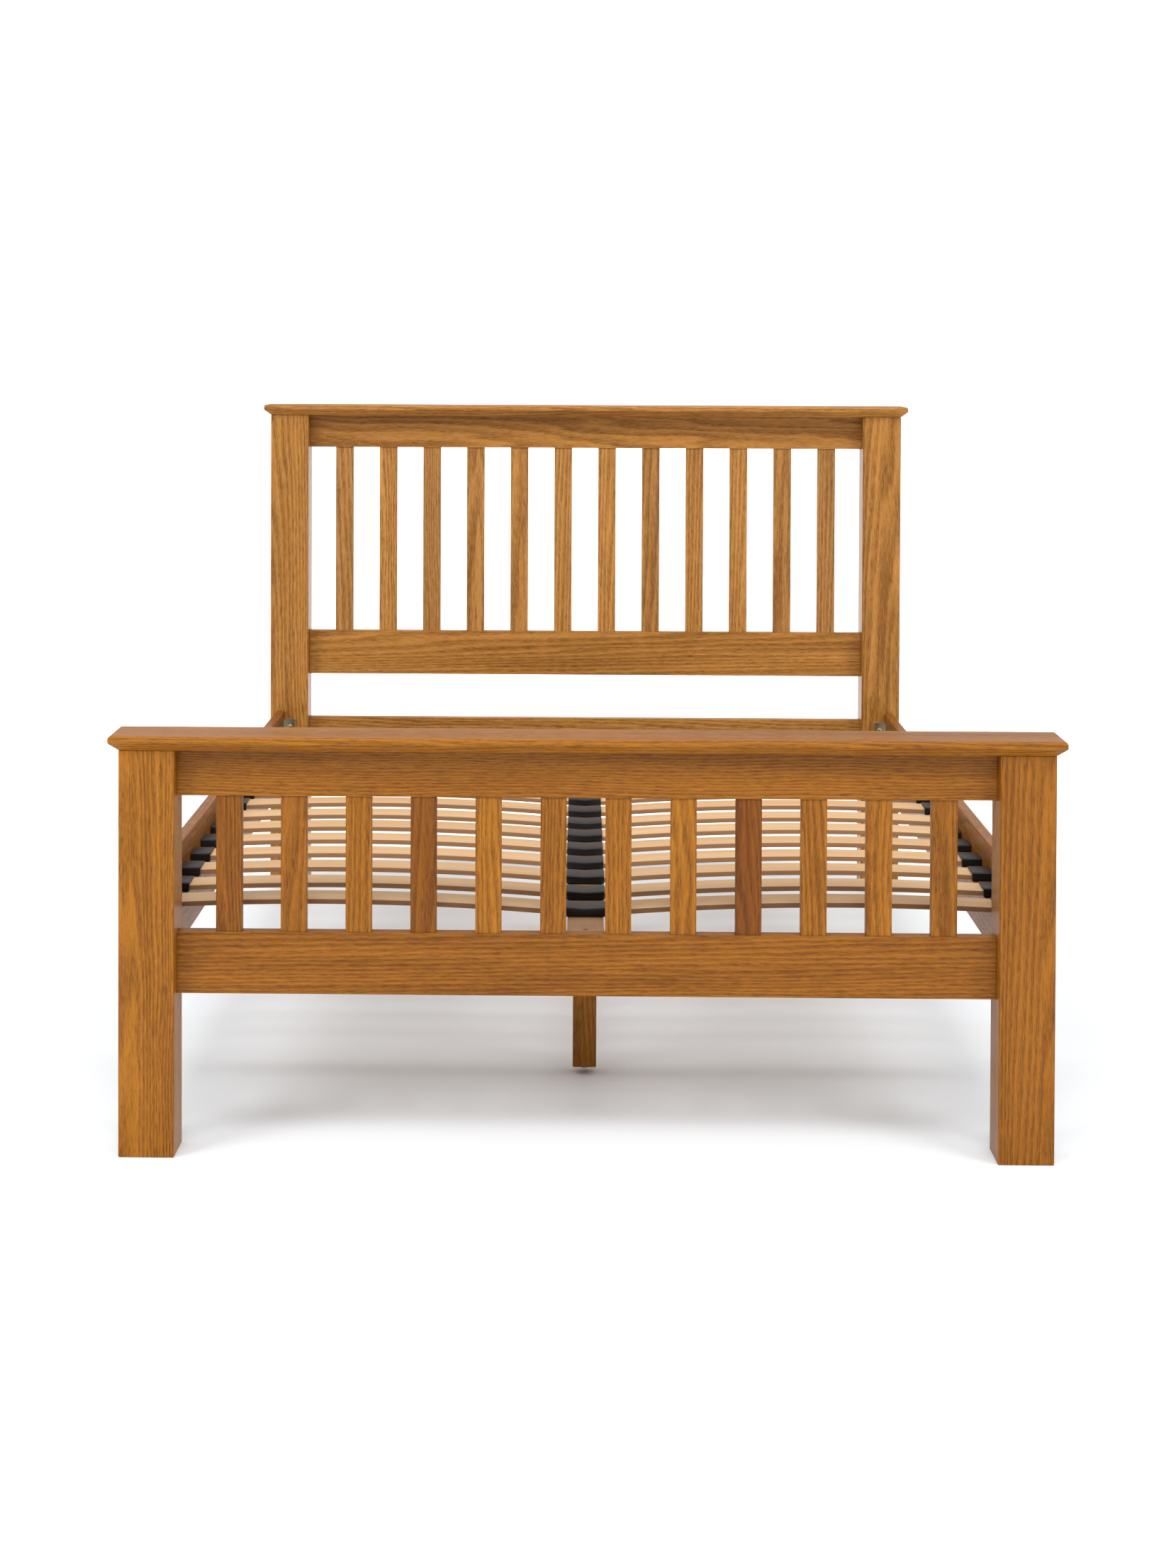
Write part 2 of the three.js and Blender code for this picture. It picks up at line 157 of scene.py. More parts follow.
# %% Adding nodes
class Graph:
    """A node tree, with one method that adds a node and sets or links its inputs."""

    def __init__(self, tree):
        self.tree = tree

    def add(self, kind, settings=None, inputs=None, out=None):
        node = self.tree.nodes.new(kind)
        for key, value in (settings or {}).items():
            setattr(node, key, value)
        for key, value in (inputs or {}).items():
            socket = self.find(node.inputs, key)
            for one in value if isinstance(value, list) else [value]:
                if isinstance(one, Wire):
                    self.tree.links.new(one.socket, socket)
                else:
                    socket.default_value = one
        outputs = [s for s in node.outputs if s.enabled]
        found = self.find(node.outputs, out) if out is not None else (outputs or [None])[0]
        return Wire(self, node, found)

    @staticmethod
    def find(sockets, key):
        if isinstance(key, int):
            return sockets[key]
        return next(s for s in sockets if s.name == key and s.enabled)

    def vector(self, operation, first, second):
        inputs = {0: first, 1: second}
        return self.add("ShaderNodeVectorMath", {"operation": operation}, inputs)

    def noise(self, place, scale, detail=2.0, roughness=0.5):
        """A noise from -0.5 to 0.5, with its own scale along each axis."""
        stretched = self.vector("MULTIPLY", place, scale)
        inputs = {"Vector": stretched, "Scale": 1.0, "Detail": detail, "Roughness": roughness}
        return self.add("ShaderNodeTexNoise", {}, inputs, "Fac") - 0.5

    def smooth(self, value, low, high):
        """0 where value is under low, 1 where it is over high, and smooth between."""
        inputs = {"Value": value, "From Min": low, "From Max": high}
        return self.add("ShaderNodeMapRange", {"interpolation_type": "SMOOTHSTEP"}, inputs)

    def mix(self, share, first, second, blend="MIX"):
        settings = {"data_type": "RGBA", "blend_type": blend}
        inputs = {"Factor": share, "A": first, "B": second}
        return self.add("ShaderNodeMix", settings, inputs, "Result")


print("graphs ready")


# %% Starting a material
def new_material(name):
    """An empty material, its graph and a function that finishes it."""
    material = bpy.data.materials.new(name)
    material.use_nodes = True
    material.node_tree.nodes.clear()
    graph = Graph(material.node_tree)

    def finish(inputs):
        shader = graph.add("ShaderNodeBsdfPrincipled", {}, inputs)
        graph.add("ShaderNodeOutputMaterial", {}, {"Surface": shader})
        return material

    return graph, finish


print("materials can be started")

# %% [markdown]
# ## Floor and light
# Furniture is often shown on a pale sweep, under large soft boxes. One lamp alone would leave a dark
# side on every slat, so there are three broad ones: two from the left and right for the fronts,
# and a higher one for the tops. They are suns, because a sun lights the near and the far board
# alike. The sky is dim in front, where it would show as a haze on the lacquer.

# %% Floor
FLOOR_HALF = 60.0
FLOOR_DULL = (0.730, 0.760, 0.785, 1)
FLOOR_PALE = (0.760, 0.790, 0.815, 1)
FLOOR_GLOW = (0.6, 0.6, 0.6, 1)
FLOOR_CLOUDS = (2, 2, 2)
# The lit part begins outside an oval round the bed, whose sides are nearer than its ends.
LIT_OVAL = (1.35, 1.0, 1.0)
LIT_FROM, LIT_FULL = 1.25, 2.0


def pale_floor():
    """A floor of matt card near the bed, which fades into a lit white sweep further out."""
    mesh = bpy.data.meshes.new("floor")
    corners = [(-1, -1), (1, -1), (1, 1), (-1, 1)]
    points = [(x * FLOOR_HALF, y * FLOOR_HALF, 0) for x, y in corners]
    mesh.from_pydata(points, [], [(0, 1, 2, 3)])
    graph, finish = new_material("studio_floor")
    place = graph.add("ShaderNodeTexCoord", {}, {}, "Object")
    cloud = graph.noise(place, FLOOR_CLOUDS)
    oval = graph.vector("MULTIPLY", place, LIT_OVAL)
    away = graph.add("ShaderNodeVectorMath", {"operation": "LENGTH"}, {0: oval}, "Value")
    lit = graph.smooth(away, LIT_FROM, LIT_FULL)
    inputs = {
        "Base Color": graph.mix(cloud + 0.5, FLOOR_DULL, FLOOR_PALE),
        "Roughness": 0.6,
        "Specular IOR Level": 0.2,
        "Emission Color": graph.mix(lit, (0, 0, 0, 1), FLOOR_GLOW),
        "Emission Strength": 1.0,
    }
    mesh.materials.append(finish(inputs))
    floor = add_object("floor", mesh)
    floor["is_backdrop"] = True


pale_floor()
print("floor laid")

# %% Sky and lamps
SKY_LEVEL = 1.12
SKY_BACK = 0.60
SKY_FRONT = 0.06
# Where the sky goes from low to high and from front to back, as parts of its direction.
SKY_RISE = (0.15, 0.85)
SKY_TURN = (-0.25, 0.55)
# Each lamp: its strength, then its spread, height and turn from straight ahead in degrees.
LAMPS = {
    "left": (1.32, 24, 34, -46),
    "right": (1.12, 24, 34, 46),
    "top": (1.15, 20, 58, 0),
}


def studio_sky():
    """White to the camera; for light it is bright above, softer behind and dim in front."""
    world = bpy.data.worlds.new("studio")
    world.use_nodes = True
    world.node_tree.nodes.clear()
    graph = Graph(world.node_tree)
    way = graph.add("ShaderNodeTexCoord", {}, {}, "Generated")
    axes = graph.add("ShaderNodeSeparateXYZ", {}, {0: way}, "Z")
    above = graph.smooth(axes, *SKY_RISE)
    behind = graph.smooth(axes.out("Y"), *SKY_TURN)
    low = SKY_FRONT + behind * (SKY_BACK - SKY_FRONT)
    level = low + above * (SKY_LEVEL - low)
    seen = graph.add("ShaderNodeLightPath", {}, {}, "Is Camera Ray")
    strength = level + seen * (1.0 - level)
    inputs = {"Color": (1, 1, 1, 1), "Strength": strength}
    sky = graph.add("ShaderNodeBackground", {}, inputs)
    graph.add("ShaderNodeOutputWorld", {}, {"Surface": sky})
    bpy.context.scene.world = world


def broad_lamp(name, strength, spread, height, turn):
    """A broad lamp so far away that it lights the whole bed evenly."""
    light = bpy.data.lights.new(f"{name}_lamp", "SUN")
    light.energy = strength
    light.angle = math.radians(spread)
    around = Matrix.Rotation(math.radians(turn), 4, "Z")
    tipped = Matrix.Rotation(math.radians(90 - height), 4, "X")
    add_object(f"{name}_lamp", light).matrix_world = around @ tipped


studio_sky()
for name, lamp in LAMPS.items():
    broad_lamp(name, *lamp)
bpy.context.scene.view_settings.view_transform = "Standard"
print("lamps:", list(LAMPS))

# %% [markdown]
# ## Oak
# A board is cut from a log, so its figure is the log's growth rings seen where the saw went. A
# flat pattern on each face would be simpler, but it would break at every edge. Here the shader
# works in board coordinates, with X along the grain, and measures the distance from a pith that
# lies outside the board. Rings are bands of that distance, bent by slow noise, so one solid
# pattern gives straight grain on one face, arches on the next and rings on the end. Fine streaks
# and short dark pores run along the grain. A satin lacquer lies over it as a coat.

# %% Growth rings
RING_SPACING = 4.6 * MM
# Noises of the wood: waves in a metre, along the grain and then twice across it.
RING_SWAY = (2.0, 11, 11)
RING_RIPPLE = (8, 55, 55)
RING_UNEVEN = (1.2, 28, 28)
SWAY_ACROSS = 26 * MM
SWAY_DEEP = 14 * MM
RIPPLE_ACROSS = 3 * MM
SLANT = 0.014
UNEVEN_YEARS = 3.2


def growth_rings(graph, board):
    """How early in its year the wood grew: 1 in the open, porous band and 0 in the dense one."""
    sway = graph.noise(board, RING_SWAY)
    ripple = graph.noise(board, RING_RIPPLE)
    axes = graph.add("ShaderNodeSeparateXYZ", {}, {0: board}, "X")
    across = axes.out("Y") + sway * SWAY_ACROSS + ripple * RIPPLE_ACROSS
    deep = axes.out("Z") + sway * SWAY_DEEP + axes * SLANT
    from_pith = (across * across + deep * deep) ** 0.5
    year = from_pith / RING_SPACING + graph.noise(board, RING_UNEVEN) * UNEVEN_YEARS
    ring = graph.add("ShaderNodeMath", {"operation": "FRACT"}, {0: year})
    return graph.smooth(ring, 0.0, 0.25) * (1 - graph.smooth(ring, 0.35, 1.0))


print("rings every", RING_SPACING / MM, "mm")

# %% Oak finish
OAK_HONEY = (0.302, 0.112, 0.0082, 1)
OAK_BROWN = (0.136, 0.038, 0.0022, 1)
# A paler colour, mixed in as painted haze of light.
OAK_HAZE = (0.43, 0.215, 0.064, 1)
GRAIN_PALE = (1.38, 1.43, 1.53, 1)
GRAIN_DARK = (0.51, 0.43, 0.29, 1)
PORE_DARK = (0.055, 0.016, 0.0025, 1)
OAK_BAND = (1.6, 34, 34)
OAK_STREAK = (34, 400, 400)
OAK_FLECK = (60, 850, 850)


def oak_finish(graph, finish, board, tone, haze_share):
    """Oak. `tone` goes from honey to brown, and the last argument mixes in a paler colour, a painted
    haze of light.
    """
    early = growth_rings(graph, board)
    band = graph.noise(board, OAK_BAND)
    streak = graph.noise(board, OAK_STREAK, 3, 0.7)
    fleck = graph.noise(board, OAK_FLECK, 2, 0.6)
    pore = graph.smooth(fleck + early * 0.10, 0.09, 0.24)
    depth = 0.32 + early * 0.34 + band * 1.05 + streak * 1.70
    grain = graph.mix(graph.smooth(depth, -0.25, 1.25), GRAIN_PALE, GRAIN_DARK)
    # The paler mix is painted haze of light, used on the headboard.
    tone_and_haze = graph.mix(haze_share, graph.mix(tone, OAK_HONEY, OAK_BROWN), OAK_HAZE)
    colour = graph.mix(1.0, tone_and_haze, grain, "MULTIPLY")
    colour = graph.mix(pore * 0.5, colour, PORE_DARK)
    relief = {"Height": streak * 0.4 - pore * 0.8, "Strength": 0.12, "Distance": 0.4 * MM}
    return finish(
        {
            "Base Color": colour,
            "Roughness": 0.42 + pore * 0.12 + streak * 0.12,
            "Normal": graph.add("ShaderNodeBump", {}, relief),
            "Specular IOR Level": 0.12,
            "Coat Weight": 0.30,
            "Coat IOR": 1.25,
            "Coat Roughness": 0.24,
        }
    )


print("oak finish ready")

# %% Which way each board lies
# For a timber that runs along X, Y or Z: the axes along its grain, across it and into it.
BOARD_AXES = {"X": ("X", "Z", "Y"), "Y": ("Y", "Z", "X"), "Z": ("Z", "X", "Y")}


def sawn_from(graph, middle, along, pith):
    """Board coordinates of one timber, from Object coordinates."""
    place = graph.add("ShaderNodeTexCoord", {}, {}, "Object")
    local = graph.vector("SUBTRACT", place, tuple(middle))
    axes = graph.add("ShaderNodeSeparateXYZ", {}, {0: local}, "X")
    turned = {i: axes.out(axis) for i, axis in enumerate(BOARD_AXES[along])}
    return graph.vector("ADD", graph.add("ShaderNodeCombineXYZ", {}, turned), pith)


def stored_board(graph):
    """Board coordinates and tone that the repeated pieces carry themselves."""
    grain = graph.add("ShaderNodeAttribute", {"attribute_name": "grain"}, {}, "Vector")
    shift = graph.add("ShaderNodeAttribute", {"attribute_name": "shift"}, {}, "Vector")
    tone = graph.add("ShaderNodeAttribute", {"attribute_name": "tone"}, {}, "Fac")
    return grain, graph.vector("ADD", grain, shift), tone


def oak_timber(name, middle, along, pith, tone, haze_share=0.0):
    """Oak for one timber, which has its own place in the log and its own tone."""
    graph, finish = new_material(name)
    return oak_finish(graph, finish, sawn_from(graph, middle, along, pith), tone, haze_share)


def oak_by_piece(name, haze_share):
    """Oak for a row of pieces, each with the shift and tone that it carries itself."""
    graph, finish = new_material(name)
    _, board, tone = stored_board(graph)
    return oak_finish(graph, finish, board, tone, haze_share)


print("board axes:", BOARD_AXES)

# %% [markdown]
# ## Beech, plastic and plated steel
# The laths are beech, a pale pinkish wood with a fine even grain and short darker flecks. Each is
# glued up from thin layers, so its long edges show glue lines and look browner than its top. The
# holders are moulded black plastic with a faint sheen. The brackets are folded steel with a
# yellow zinc plating that is never quite even. One flat colour each would do from afar, but not
# up close, so each finish gets a few noises at the scale of its real marks.

# %% Beech
BEECH_PALE = (0.57, 0.370, 0.195, 1)
BEECH_WARM = (0.47, 0.280, 0.136, 1)
BEECH_FLECK = (0.24, 0.120, 0.055, 1)
BEECH_CUT = (0.175, 0.072, 0.026, 1)
BEECH_FINE = (5, 420, 420)
BEECH_BROAD = (2.5, 45, 45)
BEECH_RAY = (70, 900, 900)
LAYER_THICKNESS = 1.42 * MM
CUT_BEGINS = 0.9 * MM
CUT_FULL = 0.2 * MM
# How far the centre rail is mixed towards the browner cut colour: painted shade from the footboard.
RAIL_PAINTED_SHADE = 0.62


def beech_finish(graph, finish, board, tone, cut_or_shade):
    """Beech. The last argument mixes in the browner cut colour: on the laths it marks their cut
    edges, and on the centre rail it is painted shade.
    """
    fine = graph.noise(board, BEECH_FINE, 3, 0.6)
    broad = graph.noise(board, BEECH_BROAD)
    fleck = graph.noise(board, BEECH_RAY, 1)
    depth = 0.40 + fine * 0.9 + broad * 1.0 + (tone - 0.5) * 0.5
    body = graph.mix(graph.smooth(depth, -0.1, 1.0), BEECH_PALE, BEECH_WARM)
    body = graph.mix(graph.smooth(fleck, 0.16, 0.26) * 0.35, body, BEECH_FLECK)
    body = graph.mix(cut_or_shade, body, BEECH_CUT)
    relief = {"Height": fine - fleck * 0.5, "Strength": 0.08, "Distance": 0.3 * MM}
    return finish(
        {
            "Base Color": body,
            "Roughness": 0.52 + fine * 0.15,
            "Normal": graph.add("ShaderNodeBump", {}, relief),
            "Specular IOR Level": 0.25,
        }
    )


def beech_lath(width):
    """Beech for the laths, with glue lines along their edges."""
    graph, finish = new_material("beech_laths")
    grain, board, tone = stored_board(graph)
    axes = graph.add("ShaderNodeSeparateXYZ", {}, {0: grain}, "X")
    side = graph.add("ShaderNodeMath", {"operation": "ABSOLUTE"}, {0: axes.out("Y")})
    cut = graph.smooth(side, width / 2 - CUT_BEGINS, width / 2 - CUT_FULL)
    layer = graph.add("ShaderNodeMath", {"operation": "FRACT"}, {0: axes.out("Z") / LAYER_THICKNESS})
    glue = graph.smooth(layer, 0.80, 0.92)
    return beech_finish(graph, finish, board, tone, cut * (0.72 + glue * 0.28))


def beech_timber(name, middle, along, pith, tone):
    graph, finish = new_material(name)
    # On the centre rail the browner mix is painted shade.
    return beech_finish(graph, finish, sawn_from(graph, middle, along, pith), tone, RAIL_PAINTED_SHADE)


print("beech ready")

# %% Plastic and plated steel
PLASTIC_BLACK = (0.006, 0.006, 0.007, 1)
PLASTIC_WORN = (0.014, 0.013, 0.013, 1)
PLASTIC_GRIT = (900, 900, 900)
PLASTIC_WEAR = (12, 12, 12)
ZINC_YELLOW = (0.60, 0.53, 0.33, 1)
ZINC_GREY = (0.66, 0.64, 0.56, 1)
ZINC_BLOOM = (35, 35, 35)
ZINC_SCRATCH = (1400, 90, 90)
SCREW_BLACK = (0.06, 0.05, 0.04, 1)
SCREW_RUBBED = (0.14, 0.12, 0.10, 1)
SCREW_SPOTS = (800, 800, 800)


def moulded_plastic():
    graph, finish = new_material("moulded_plastic")
    place = graph.add("ShaderNodeTexCoord", {}, {}, "Object")
    grit = graph.noise(place, PLASTIC_GRIT)
    wear = graph.noise(place, PLASTIC_WEAR)
    worn = graph.smooth(wear + grit * 0.4, -0.2, 0.4)
    relief = {"Height": grit, "Strength": 0.12, "Distance": 0.2 * MM}
    return finish(
        {
            "Base Color": graph.mix(worn, PLASTIC_BLACK, PLASTIC_WORN),
            "Roughness": 0.36 + wear * 0.2 + grit * 0.1,
            "Normal": graph.add("ShaderNodeBump", {}, relief),
            "Specular IOR Level": 0.25,
        }
    )


def zinc_plate():
    graph, finish = new_material("zinc_plate")
    place = graph.add("ShaderNodeTexCoord", {}, {}, "Object")
    bloom = graph.noise(place, ZINC_BLOOM, 3)
    scratch = graph.noise(place, ZINC_SCRATCH)
    relief = {"Height": scratch, "Strength": 0.10, "Distance": 0.1 * MM}
    return finish(
        {
            "Base Color": graph.mix(bloom + 0.5, ZINC_YELLOW, ZINC_GREY),
            "Metallic": 0.95 + bloom * 0.1,
            "Roughness": 0.32 + bloom * 0.25 + scratch * 0.15,
            "Normal": graph.add("ShaderNodeBump", {}, relief),
        }
    )


def blackened_screw():
    graph, finish = new_material("blackened_screw")
    place = graph.add("ShaderNodeTexCoord", {}, {}, "Object")
    spots = graph.noise(place, SCREW_SPOTS)
    colour = graph.mix(spots + 0.5, SCREW_BLACK, SCREW_RUBBED)
    return finish({"Base Color": colour, "Metallic": 0.8, "Roughness": 0.42 + spots * 0.2})


plastic = moulded_plastic()
plating = zinc_plate()
print("made:", plastic.name, plating.name)

# %% [markdown]
# ## Posts, rails and caps
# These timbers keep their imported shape. A sawn edge is never knife sharp, and the thin highlight
# along it is what makes a timber read as wood, so each gets a small rounding. It could be cut
# into each shape by hand, but modifiers do it to all of them alike: the loose triangles are
# welded, flat areas are dissolved into whole faces, and the edges are bevelled.

# %% Timbers
EDGE_ROUNDING = 1.6 * MM
EDGE_SEGMENTS = 3
EDGE_ANGLE = math.radians(40)
FLAT_ANGLE = math.radians(1)
WELD_DISTANCE = 0.02 * MM


def ease_edges(piece, radius):
    weld = piece.modifiers.new("weld", "WELD")
    weld.merge_threshold = WELD_DISTANCE
    flat = piece.modifiers.new("whole_faces", "DECIMATE")
    flat.decimate_type = "DISSOLVE"
    flat.angle_limit = FLAT_ANGLE
    bevel = piece.modifiers.new("eased_edges", "BEVEL")
    bevel.width = radius
    bevel.segments = EDGE_SEGMENTS
    bevel.limit_method = "ANGLE"
    bevel.angle_limit = EDGE_ANGLE
    bevel.harden_normals = True
    bevel.use_clamp_overlap = True


print("edges eased by", EDGE_ROUNDING / MM, "mm")

# %% Dress the timbers
# Each timber: the axis it runs along, its pith from its middle, its tone from honey to brown.
TIMBERS = {
    "foot_post_left": ("Z", (0.4, 0.035, 0.09), 0.20),
    # The right foot post's browner tone is partly painted shade, from light that falls more from the
    # left.
    "foot_post_right": ("Z", (2.9, -0.05, 0.12), 0.46),
    "head_post_left": ("Z", (5.3, 0.05, 0.07), 0.14),
    "head_post_right": ("Z", (7.1, -0.03, 0.13), 0.18),
    "foot_cap": ("X", (1.7, 0.03, 0.10), 0.22),
    "head_cap": ("X", (4.2, 0.05, 0.12), 0.12),
    "foot_top_rail": ("X", (3.1, 0.12, 0.02), 0.38),
    "foot_bottom_rail": ("X", (6.6, -0.09, 0.05), 0.44),
    "head_top_rail": ("X", (8.2, 0.03, 0.06), 0.16),
    "head_middle_rail": ("X", (9.5, -0.08, 0.06), 0.16),
    "head_low_rail": ("X", (10.8, 0.10, 0.05), 0.28),
    "side_rail_left": ("Y", (12.1, 0.07, 0.08), 0.50),
    "side_rail_right": ("Y", (13.6, -0.06, 0.08), 0.46),
}
# The headboard and, more strongly, its slats are mixed towards a paler colour: painted haze of light
# over the far board, not paler wood.
HEAD_HAZE = 0.42
HEAD_SLAT_HAZE = 0.60


def dress_timber(node, along, pith, tone):
    piece = nodes[node]
    low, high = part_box(node)
    # Head timbers get the paler mix, a painted haze of light.
    haze_share = HEAD_HAZE if node.startswith("head_") else 0.0
    wood = oak_timber(f"oak_{node}", (low + high) / 2, along, pith, tone, haze_share)
    piece.data.materials.clear()
    piece.data.materials.append(wood)
    ease_edges(piece, EDGE_ROUNDING)


for name, (along, pith, tone) in TIMBERS.items():
    dress_timber(name, along, pith, tone)
print("timbers dressed:", len(TIMBERS))

# %% [markdown]
# ## Repeated pieces by Geometry Nodes
# The slats, laths, holders and screws all repeat. They could be copied by hand, but then a change
# of size would mean doing it again, so each kind is one small tree with named inputs. A tree
# starts from points, puts one shape on each, gives each wooden copy its own random shift and
# tone, and ends in real geometry with its material. The result is kept as a plain mesh.

# %% Piece helpers
SHARP_ANGLE = math.radians(35)


def smooth_by_angle(mesh):
    """Smooth shading, apart from edges sharper than SHARP_ANGLE."""
    mesh.polygons.foreach_set("use_smooth", [True] * len(mesh.polygons))
    mesh.set_sharp_from_angle(angle=SHARP_ANGLE)


def place_piece(piece, slot, *replaced, body="frame"):
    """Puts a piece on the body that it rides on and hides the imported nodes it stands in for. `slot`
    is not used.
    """
    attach(piece, body)
    if replaced:
        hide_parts(*replaced)
    return piece


print("piece helpers ready")

# %% Geometry trees
# The least and the most that a copy is shifted along, across and into the log, in metres.
LOG_LOW = (0, -0.09, 0.02)
LOG_HIGH = (9, 0.09, 0.12)
WANDER_SEED = 3
SOCKET_KINDS = {
    int: "NodeSocketInt",
    float: "NodeSocketFloat",
    tuple: "NodeSocketVector",
    bpy.types.Object: "NodeSocketObject",
    bpy.types.Material: "NodeSocketMaterial",
}


class Shape(Graph):
    """A Geometry Nodes tree whose sizes are named inputs."""

    def __init__(self, name, inputs):
        super().__init__(bpy.data.node_groups.new(name, "GeometryNodeTree"))
        self.values = inputs
        self.sockets = {}
        for key, value in inputs.items():
            kind = SOCKET_KINDS[type(value)]
            item = self.tree.interface.new_socket(key, in_out="INPUT", socket_type=kind)
            self.sockets[key] = item.identifier
        self.tree.interface.new_socket("Geometry", in_out="OUTPUT", socket_type="NodeSocketGeometry")
        self.source = self.add("NodeGroupInput")

    def given(self, key):
        return self.source.out(key)

    def store(self, geometry, kind, domain, name, value):
        settings = {"data_type": kind, "domain": domain}
        inputs = {"Geometry": geometry, "Name": name, "Value": value}
        return self.add("GeometryNodeStoreNamedAttribute", settings, inputs)

    def random(self, kind, low, high, seed):
        inputs = {"Min": low, "Max": high, "Seed": seed}
        return self.add("FunctionNodeRandomValue", {"data_type": kind}, inputs)

    def row(self, start):
        """Points in a row, from the inputs Count and Pitch and the named start."""
        inputs = {
            "Count": self.given("Count"),
            "Start Location": self.given(start),
            "Offset": self.given("Pitch"),
        }
        return self.add("GeometryNodeMeshLine", {}, inputs)

    def wander(self, row):
        """Moves each point off its place by up to Wander, the same way in every row."""
        reach = self.given("Wander")
        back = self.vector("MULTIPLY", reach, (-1, -1, -1))
        offset = self.random("FLOAT_VECTOR", back, reach, WANDER_SEED)
        return self.add("GeometryNodeSetPosition", {}, {"Geometry": row, "Offset": offset})

    def copies(self, points, instance, rotation=(0, 0, 0)):
        inputs = {"Points": points, "Instance": instance, "Rotation": rotation}
        return self.add("GeometryNodeInstanceOnPoints", {}, inputs)

    def object(self, key):
        return self.add("GeometryNodeObjectInfo", {}, {"Object": self.given(key)}, "Geometry")

    def bar(self, path):
        """A bar with rounded long edges, swept along a path."""
        inputs = {"Width": self.given("Width"), "Height": self.given("Thickness")}
        outline = self.add("GeometryNodeCurvePrimitiveQuadrilateral", {}, inputs)
        inputs = {"Curve": outline, "Radius": self.given("Edge"), "Count": 4}
        rounded = self.add("GeometryNodeFilletCurve", {"mode": "POLY"}, inputs)
        inputs = {"Curve": path, "Profile Curve": rounded, "Fill Caps": True}
        return self.add("GeometryNodeCurveToMesh", {}, inputs)

    def vary(self, instances):
        """Gives each copy its own shift in the log and its own tone."""
        seed = self.given("Seed")
        shift = self.random("FLOAT_VECTOR", LOG_LOW, LOG_HIGH, seed)
        tone = self.random("FLOAT", 0.0, 1.0, seed + 1)
        marked = self.store(instances, "FLOAT_VECTOR", "INSTANCE", "shift", shift)
        return self.store(marked, "FLOAT", "INSTANCE", "tone", tone)

    def build(self, name, geometry):
        """Ends the tree, runs it once on an empty object and keeps the result as a mesh.

        The inputs are set before the first evaluation.
        """
        real = self.add("GeometryNodeRealizeInstances", {}, {"Geometry": geometry})
        inputs = {"Geometry": real, "Material": self.given("Material")}
        self.add("NodeGroupOutput", {}, {"Geometry": self.add("GeometryNodeSetMaterial", {}, inputs)})
        piece = add_object(name, bpy.data.meshes.new("empty"))
        modifier = piece.modifiers.new("shape", "NODES")
        modifier.node_group = self.tree
        for key, identifier in self.sockets.items():
            modifier[identifier] = self.values[key]
        depsgraph = bpy.context.evaluated_depsgraph_get()
        mesh = bpy.data.meshes.new_from_object(piece.evaluated_get(depsgraph))
        piece.modifiers.clear()
        piece.data = mesh
        mesh.name = name
        smooth_by_angle(mesh)
        print(name, "faces:", len(mesh.polygons))
        return piece


print("geometry trees ready")

# %% [markdown]
# ### Upright slats
# Twelve slats stand in each board, at equal gaps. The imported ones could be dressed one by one,
# like the timbers, but one tree takes its numbers from the first and the last of them and gives
# each copy the tone and figure of its own plank. The bar is swept upwards, and the place along it
# is stored as the grain before the copies are made.

# %% Slats
SLAT_EDGE = 1.8 * MM
SLAT_TENON = 11.7 * MM
FOOT_SLAT_SEED = 5
HEAD_SLAT_SEED = 11


def slat_sizes(names, seed, material):
    """The inputs of the slat tree, from the boxes of the first and the last packed slat."""
    low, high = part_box(names[0])
    last_low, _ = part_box(names[-1])
    size = high - low
    middle = (low + high) / 2
    return {
        "Count": len(names),
        "Pitch": ((last_low.x - low.x) / (len(names) - 1), 0.0, 0.0),
        "Start": (middle.x, middle.y, low.z + SLAT_TENON),
        "Width": size.x,
        "Thickness": size.y,
        "Height": size.z - 2 * SLAT_TENON,
        "Edge": SLAT_EDGE,
        "Seed": seed,
        "Material": material,
    }


def slat_row(board, seed, material):
    names = sorted(n for n in nodes if n.startswith(f"{board}_slat_"))
    shape = Shape(f"{board}_slat_tree", slat_sizes(names, seed, material))
    top = shape.add("ShaderNodeCombineXYZ", {}, {2: shape.given("Height")})
    path = shape.add("GeometryNodeCurvePrimitiveLine", {}, {"Start": (0, 0, 0), "End": top})
    place = shape.add("GeometryNodeInputPosition")
    axes = shape.add("ShaderNodeSeparateXYZ", {}, {0: place}, "Z")
    grain = shape.add("ShaderNodeCombineXYZ", {}, {0: axes, 1: axes.out("X"), 2: axes.out("Y")})
    bar = shape.store(shape.bar(path), "FLOAT_VECTOR", "POINT", "grain", grain)
    slats = shape.vary(shape.copies(shape.row("Start"), bar))
    place_piece(shape.build(f"{board}_slats", slats), "oak", *names)


slat_row("foot", FOOT_SLAT_SEED, oak_by_piece("oak_foot_slats", 0.0))
# The head slats get more of the paler mix, a painted haze of light.
slat_row("head", HEAD_SLAT_SEED, oak_by_piece("oak_head_slats", HEAD_SLAT_HAZE))

# %% [markdown]
# ## Bowed laths
# A sprung lath is a thin laminated strip, bent upwards so that it gives under weight. It could be
# swept along a bow, but here the bar is drawn straight, its grain is stored, and only then is it
# bent, so the grain follows the bow. The ends stay level where the holders grip them. Each row
# has a right lath and, turned half round, a left one. Loose in their holders, they lean by a few
# degrees, and each row stands a few millimetres off its place.

